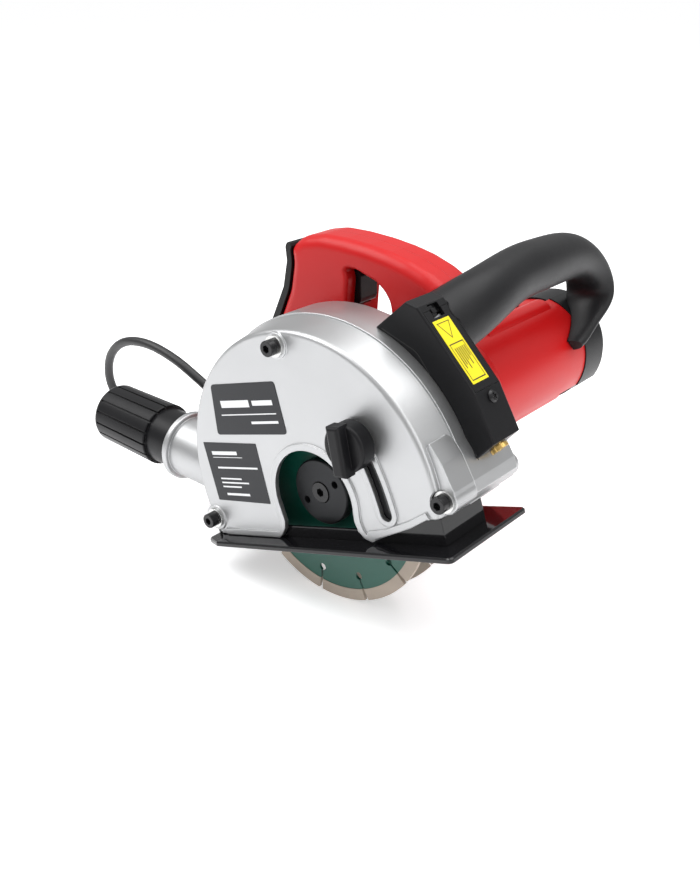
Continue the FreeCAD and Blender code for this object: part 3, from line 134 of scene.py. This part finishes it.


# edge: how far each look's rims are lightened in colour, for wear and as a painted highlight
LOOKS = {
    "cast_guard": dict(colour=(0.46, 0.465, 0.47), rough=0.40, metal=0.92, grain=0.30, grain_size=0.7,
                       tone=0.03, edge=0.75, bevel=1.0, smudge=0.05),
    "red_plastic": dict(colour=(0.50, 0.006, 0.007), rough=0.36, spec=0.28, grain=0.12, grain_size=0.6,
                        tone=0.04, edge=0.05, bevel=0.9, smudge=0.05),
    "black_plastic": dict(colour=(0.007, 0.007, 0.008), rough=0.36, spec=0.2, grain=0.22, grain_size=0.5,
                          edge=0.12, bevel=0.6),
    "gloss_black": dict(colour=(0.006, 0.006, 0.007), rough=0.09, grain=0.03, grain_size=2.5, coat=0.1,
                        spec=0.35, coat_rough=0.05, smudge=0.03, edge=0.03, bevel=0.8),
    "black_rubber": dict(colour=(0.008, 0.008, 0.009), rough=0.42, spec=0.26, grain=0.25, grain_size=0.6,
                         edge=0.10, bevel=0.8),
    "cord_rubber": dict(colour=(0.012, 0.012, 0.013), rough=0.42, grain=0.15, grain_size=0.8, bevel=0.2),
    "zinc_steel": dict(colour=(0.62, 0.62, 0.61), rough=0.28, metal=1.0, grain=0.10, grain_size=0.8, edge=0.4,
                       bevel=0.25),
    "dark_steel": dict(colour=(0.024, 0.025, 0.027), rough=0.42, metal=0.5, spec=0.3, grain=0.25,
                       grain_size=0.9, edge=0.25, bevel=0.4),
    "black_steel": dict(colour=(0.014, 0.014, 0.015), rough=0.27, metal=0.35, grain=0.12, grain_size=0.8,
                        edge=0.35, bevel=0.25),
    "disc_green": dict(colour=(0.003, 0.085, 0.058), rough=0.36, grain=0.10, grain_size=1.2, tone=0.10,
                       edge=0.3, bevel=0.15, coat=0.08, coat_rough=0.3),
    "diamond_segment": dict(colour=(0.40, 0.335, 0.275), rough=0.62, grain=0.9, grain_size=1.2, tone=0.35,
                            edge=0.3, bevel=0.2),
    "ground_steel": dict(colour=(0.66, 0.67, 0.68), rough=0.20, metal=1.0, grain=0.06, grain_size=0.6,
                         edge=0.2, bevel=0.2),
    "laminated_steel": dict(colour=(0.32, 0.33, 0.34), rough=0.40, metal=0.9, grain=0.3, grain_size=0.5),
    "enamel_copper": dict(colour=(0.42, 0.12, 0.04), rough=0.30, metal=0.7, grain=0.5, grain_size=1.0),
    "copper": dict(colour=(0.62, 0.27, 0.14), rough=0.25, metal=1.0, grain=0.1, grain_size=0.7),
    "carbon": dict(colour=(0.02, 0.02, 0.02), rough=0.6, grain=0.3, grain_size=0.8),
    "brass": dict(colour=(0.72, 0.48, 0.16), rough=0.20, metal=1.0, grain=0.06, grain_size=0.8, edge=0.4,
                  bevel=0.25),
    "cell_jacket": dict(colour=(0.48, 0.49, 0.50), rough=0.3, grain=0.05),
    "grey_plastic": dict(colour=(0.07, 0.072, 0.075), rough=0.45, grain=0.2),
}
made = {name: material(name, **look) for name, look in LOOKS.items()}

slots = {s["node"]: s["material_slot"] for s in frame["record"]["subparts"]}
for name, obj in nodes.items():
    obj.data.materials.clear()
    obj.data.materials.append(made[slots[name]])


def mesh_piece(name, verts, faces):
    """New flat-shaded object from points and faces."""
    data = bpy.data.meshes.new(name)
    data.from_pydata([tuple(v) for v in verts], [], faces)
    data.update()
    for f in data.polygons:
        f.use_smooth = False
    obj = bpy.data.objects.new(name, data)
    bpy.context.scene.collection.objects.link(obj)
    return obj


# ------------------------------------------------------------ labels

# plain plates: bars stand for print, and there is no lettering
made["label_grey"] = material("label_grey", (0.020, 0.021, 0.024), 0.36, grain=0.05, grain_size=0.8,
                              bevel=0.1, spec=0.25)
made["label_white"] = material("label_white", (0.75, 0.76, 0.77), 0.4, grain=0.03, bevel=0.05)
made["label_yellow"] = material("label_yellow", (0.80, 0.66, 0.006), 0.38, grain=0.04, grain_size=0.8,
                                tone=0.03, bevel=0.1)
made["label_ink"] = material("label_ink", (0.012, 0.012, 0.012), 0.4, grain=0.03, bevel=0.05)


def rounded(corners, radius, steps=5):
    """Outline of a flat plate with rounded corners, from (x, z) corners."""
    out = []
    count = len(corners)
    for i in range(count):
        p = Vector(corners[i])
        a = (Vector(corners[i - 1]) - p).normalized()
        b = (Vector(corners[(i + 1) % count]) - p).normalized()
        start = p + a * radius
        end = p + b * radius
        for k in range(steps + 1):
            t = k / steps
            out.append(start * (1 - t) ** 2 + p * 2 * t * (1 - t) + end * t ** 2)
    return out


def plates(name, outlines, place, low, high):
    """Flat plates from outlines; place maps (u, v, height) to a point of the row."""
    verts = []
    faces = []
    for outline in outlines:
        base = len(verts)
        n = len(outline)
        verts += [place(p[0], p[1], low) for p in outline]
        verts += [place(p[0], p[1], high) for p in outline]
        faces.append(tuple(base + n + i for i in range(n)))
        faces.append(tuple(base + i for i in reversed(range(n))))
        for i in range(n):
            j = (i + 1) % n
            faces.append((base + i, base + j, base + n + j, base + n + i))
    return mesh_piece(name, verts, faces)


FACE_Y = -31.5            # outside of the guard's near half
LIFT = 0.02               # of a plate's underside above the face
LARGE_TOP = 0.30
SMALL_TOP = 0.22
PRINT_T = 0.04            # of the bars on a plate


def on_face(x, z, height):
    return tool(x, FACE_Y - height, z)


def paint(obj, look, body="tool"):
    """Give a piece its look and the body that it rides on."""
    obj.data.materials.append(made[look])
    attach(obj, body)


def bar(x0, x1, z, half, lean=0.0):
    """Bar that stands for a line of print; its far end is shifted by lean."""
    return [(x0, z - half), (x1, z - half + lean), (x1, z + half + lean), (x0, z + half)]


large_plate = rounded([(-61, 75.7), (-3.2, 74.5), (-3.5, 41.3), (-67, 42.8)], 2.6)
small_plate = rounded([(-84, 38), (-34, 36), (-35, -4), (-84, -2)], 0.5)
paint(plates("plate_large", [large_plate], on_face, LIFT, LARGE_TOP), "label_grey")
paint(plates("plate_small", [small_plate], on_face, LIFT, SMALL_TOP), "label_grey")
large_bars = [
    bar(-58, -8, 55.5, 0.35, -0.9),
    bar(-56, -30, 62.5, 2.3, -0.6),
    bar(-27, -9, 62.0, 1.6, -0.4),
    bar(-32, -8, 49.6, 0.8, -0.4),
]
paint(plates("plate_large_bars", large_bars, on_face, LARGE_TOP, LARGE_TOP + PRINT_T), "label_white")
small_bars = [
    bar(-78, -54, 30.5, 1.2, -0.6),
    bar(-78, -50, 27.6, 0.2, -0.7),
    bar(-76, -38, 20.5, 0.6, -0.9),
    bar(-76, -56, 13.0, 0.5, -0.5),
    bar(-76, -50, 10.2, 0.5, -0.6),
    bar(-76, -58, 7.4, 0.5, -0.4),
    bar(-74, -52, 2.2, 0.8, -0.5),
]
paint(plates("plate_small_bars", small_bars, on_face, SMALL_TOP, SMALL_TOP + PRINT_T), "label_white")

DOOR_A = Vector((88.7, 101.1))    # upper end of the battery door's face, x and z
DOOR_B = Vector((114.3, 50.1))    # its lower end
STICKER_TOP = 0.16
INK_T = 0.12
along = (DOOR_B - DOOR_A).normalized()
outward = Vector((-along.y, along.x))


def on_door(s, y, height):
    """Point of the door's face: s along it from its upper end, y across it."""
    p = DOOR_A + along * s + outward * height
    return tool(p.x, y, p.y)


sticker = rounded([(11, 5.2), (52, 5.2), (52, 20.4), (11, 20.4)], 0.4)
paint(plates("door_sticker", [sticker], on_door, 0.01, STICKER_TOP), "label_yellow",
      "battery_door")


def outline_frame(points, width):
    """Thin closed band just inside a polygon, as quads."""
    middle = sum((Vector(p) for p in points), Vector((0, 0))) / len(points)
    quads = []
    for i in range(len(points)):
        a = Vector(points[i])
        b = Vector(points[(i + 1) % len(points)])
        a2 = a + (middle - a).normalized() * width * 1.4
        b2 = b + (middle - b).normalized() * width * 1.4
        quads.append([a, b, b2, a2])
    return quads


ink = outline_frame([(26.5, 6.6), (50.2, 6.6), (50.2, 19.0), (26.5, 19.0)], 0.5)
LINE_START = 29.5
LINE_GAP = 1.7
for i, length in enumerate((13, 11, 14, 9, 12, 7)):
    low = 8.6 + LINE_GAP * i
    high = 9.2 + LINE_GAP * i
    ink.append([(LINE_START, low), (LINE_START + length, low), (LINE_START + length, high),
                (LINE_START, high)])
ink += outline_frame([(13.0, 7.2), (13.0, 18.4), (23.6, 12.8)], 0.5)
paint(plates("door_sticker_ink", ink, on_door, STICKER_TOP, STICKER_TOP + INK_T), "label_ink",
      "battery_door")

# ------------------------------------------------------------ fine lines

CASE_Y = 1.3              # near side of the laser case


def on_case(x, z, height):
    return tool(x, CASE_Y - height, z)


def strip(points, width):
    """Narrow band along a line, as quads that share their ends."""
    sides = []
    for i, p in enumerate(points):
        a = Vector(points[max(0, i - 1)])
        b = Vector(points[min(len(points) - 1, i + 1)])
        across = (b - a).normalized().orthogonal() * width / 2
        sides.append((Vector(p) - across, Vector(p) + across))
    return [[sides[i][0], sides[i + 1][0], sides[i + 1][1], sides[i][1]] for i in range(len(sides) - 1)]


# parting line of the laser case
groove = [(60.3, 92.1), (77.0, 79.8), (79.6, 77.8), (81.8, 75.2), (83.4, 71.9), (95.0, 43.5),
          (107.5, 12.8)]
paint(plates("case_groove", strip(groove, 0.7), on_case, 0.01, 0.05), "label_ink")

# ------------------------------------------------------------ cord

# millimetres from the spindle's middle, as in the part's own source
CORD_R = 3.6
RADIUS = CORD_R / 1000.0
FLOOR = -75.0
LIE = FLOOR + CORD_R
EXIT = (-141.4, 55.0, -17.8)
route = [EXIT, (-166.0, 52.6, -7.0), (-186.0, 50.4, 4.6), (-211.0, 48.0, 17.0),
         (-241.0, 46.0, 23.2), (-271.0, 46.0, 17.2), (-294.0, 48.0, -3.0), (-302.0, 53.0, -33.0),
         (-290.0, 63.0, -59.0), (-264.0, 78.0, LIE), (-240.0, 104.0, LIE), (-228.0, 138.0, LIE),
         (-226.9, 172.0, LIE)]
COIL = (-178.0, 206.0)
PER_TURN = 16
TURN_GAP = 7.3
TURNS_OUT = 48.9
RINGS = [TURNS_OUT - TURN_GAP * k for k in range(4)]
FIRST_LAYER = LIE + 0.1
# each turn's radius and height: inwards on the floor, then outwards on top
LAYERS = [(r, FIRST_LAYER) for r in RINGS] + [(r, FIRST_LAYER + TURN_GAP) for r in reversed(RINGS)]
STEP_FROM = 0.55          # share of a turn after which it moves over to the next
coil_points = []
for turn, (radius, height) in enumerate(LAYERS):
    nxt = LAYERS[min(turn + 1, len(LAYERS) - 1)]
    for k in range(PER_TURN):
        t = k / PER_TURN
        blend = max(0.0, (t - STEP_FROM) / (1.0 - STEP_FROM))
        blend = blend * blend * (3 - 2 * blend)
        r = radius + (nxt[0] - radius) * blend
        h = height + (nxt[1] - height) * blend
        a = math.pi - 2 * math.pi * t
        coil_points.append((COIL[0] + r * math.cos(a), COIL[1] + r * math.sin(a), h))
top = LAYERS[-1][1]
side = COIL[0] - TURNS_OUT
PLUG_AXIS = FLOOR + 17.7
tail = [(side, 206.0, top), (side, 216.0, top + 1.5), (side, 224.0, top + 4.5), (side, 229.0, PLUG_AXIS)]


def smooth_line(name, points, radius):
    """Round cord along one smooth spline."""
    data = bpy.data.curves.new(name, "CURVE")
    data.dimensions = "3D"
    data.bevel_depth = radius
    data.bevel_resolution = 6
    data.resolution_u = 8
    data.use_fill_caps = True
    spline = data.splines.new("NURBS")
    spline.points.add(len(points) - 1)
    for point, p in zip(spline.points, points):
        point.co = (*p, 1.0)
    spline.order_u = 3
    spline.use_endpoint_u = True
    obj = bpy.data.objects.new(name, data)
    bpy.context.scene.collection.objects.link(obj)
    return obj


cord = smooth_line("supply_cord", [standing(*p) for p in route + coil_points + tail], RADIUS)
paint(cord, "cord_rubber")
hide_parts("cord_tube", "cord_coil")

# ------------------------------------------------------------ stage, light and camera

HALF = 40.0               # metres, so that the floor fills the view
floor_data = bpy.data.meshes.new("floor")
floor_data.from_pydata([(-HALF, -HALF, 0), (HALF, -HALF, 0), (HALF, HALF, 0), (-HALF, HALF, 0)], [],
                       [(0, 1, 2, 3)])
floor = bpy.data.objects.new("floor", floor_data)
bpy.context.scene.collection.objects.link(floor)
floor_mat = bpy.data.materials.new("pale_floor")
floor_mat.use_nodes = True
floor_shader = floor_mat.node_tree.nodes["Principled BSDF"]
floor_shader.inputs["Base Color"].default_value = (0.93, 0.93, 0.94, 1)
floor_shader.inputs["Roughness"].default_value = 0.28
floor_shader.inputs["Specular IOR Level"].default_value = 0.3
# a little light of its own keeps the floor as pale as a studio's paper
floor_shader.inputs["Emission Color"].default_value = (1.0, 1.0, 1.0, 1)
floor_shader.inputs["Emission Strength"].default_value = 0.42
floor_data.materials.append(floor_mat)

# the surroundings are brighter above than below
world = bpy.data.worlds.new("studio")
bpy.context.scene.world = world
world.use_nodes = True
sky = world.node_tree.nodes
sky_at = sky.new("ShaderNodeTexCoord")
sky_height = sky.new("ShaderNodeSeparateXYZ")
sky_shade = sky.new("ShaderNodeMapRange")
sky_shade.inputs["From Min"].default_value = -0.2
sky_shade.inputs["From Max"].default_value = 0.9
sky_shade.inputs["To Min"].default_value = 0.30
sky_shade.inputs["To Max"].default_value = 0.80
world.node_tree.links.new(sky_at.outputs["Generated"], sky_height.inputs["Vector"])
world.node_tree.links.new(sky_height.outputs["Z"], sky_shade.inputs["Value"])
world.node_tree.links.new(sky_shade.outputs["Result"], sky["Background"].inputs["Strength"])
sky["Background"].inputs["Color"].default_value = (1.0, 1.0, 1.0, 1)


AIM = (0, 0, 0.1)


def softbox(name, where, size, power):
    """Rectangular lamp, aimed at the middle of the tool."""
    data = bpy.data.lights.new(name, "AREA")
    data.shape = "RECTANGLE"
    data.size = size[0]
    data.size_y = size[1]
    data.energy = power
    lamp = bpy.data.objects.new(name, data)
    bpy.context.scene.collection.objects.link(lamp)
    lamp.location = where
    lamp.rotation_euler = (Vector(AIM) - Vector(where)).to_track_quat("-Z", "Y").to_euler()


softbox("key", (-0.9, -0.7, 1.5), (1.2, 1.2), 20.0)
softbox("top", (0.3, 0.4, 1.8), (1.6, 1.6), 22.0)
softbox("right", (1.5, -0.2, 0.8), (0.8, 1.4), 7.0)

CAMERA_AT = (379.2, -442.04, 301.89)          # millimetres from the spindle's middle
CAMERA_LOOK = (-0.58484, 0.69353, -0.42068)
camera_data = bpy.data.cameras.new("camera")
camera_data.sensor_fit = "VERTICAL"
camera_data.sensor_height = 36.0
camera_data.lens = 43.498
camera_data.clip_start = 0.02
camera = bpy.data.objects.new("camera", camera_data)
bpy.context.scene.collection.objects.link(camera)
camera.location = standing(*CAMERA_AT)
camera.rotation_euler = Vector(CAMERA_LOOK).to_track_quat("-Z", "Y").to_euler()
bpy.context.scene.camera = camera
bpy.context.scene.view_settings.view_transform = "Standard"
bpy.context.scene.view_settings.exposure = 0.0
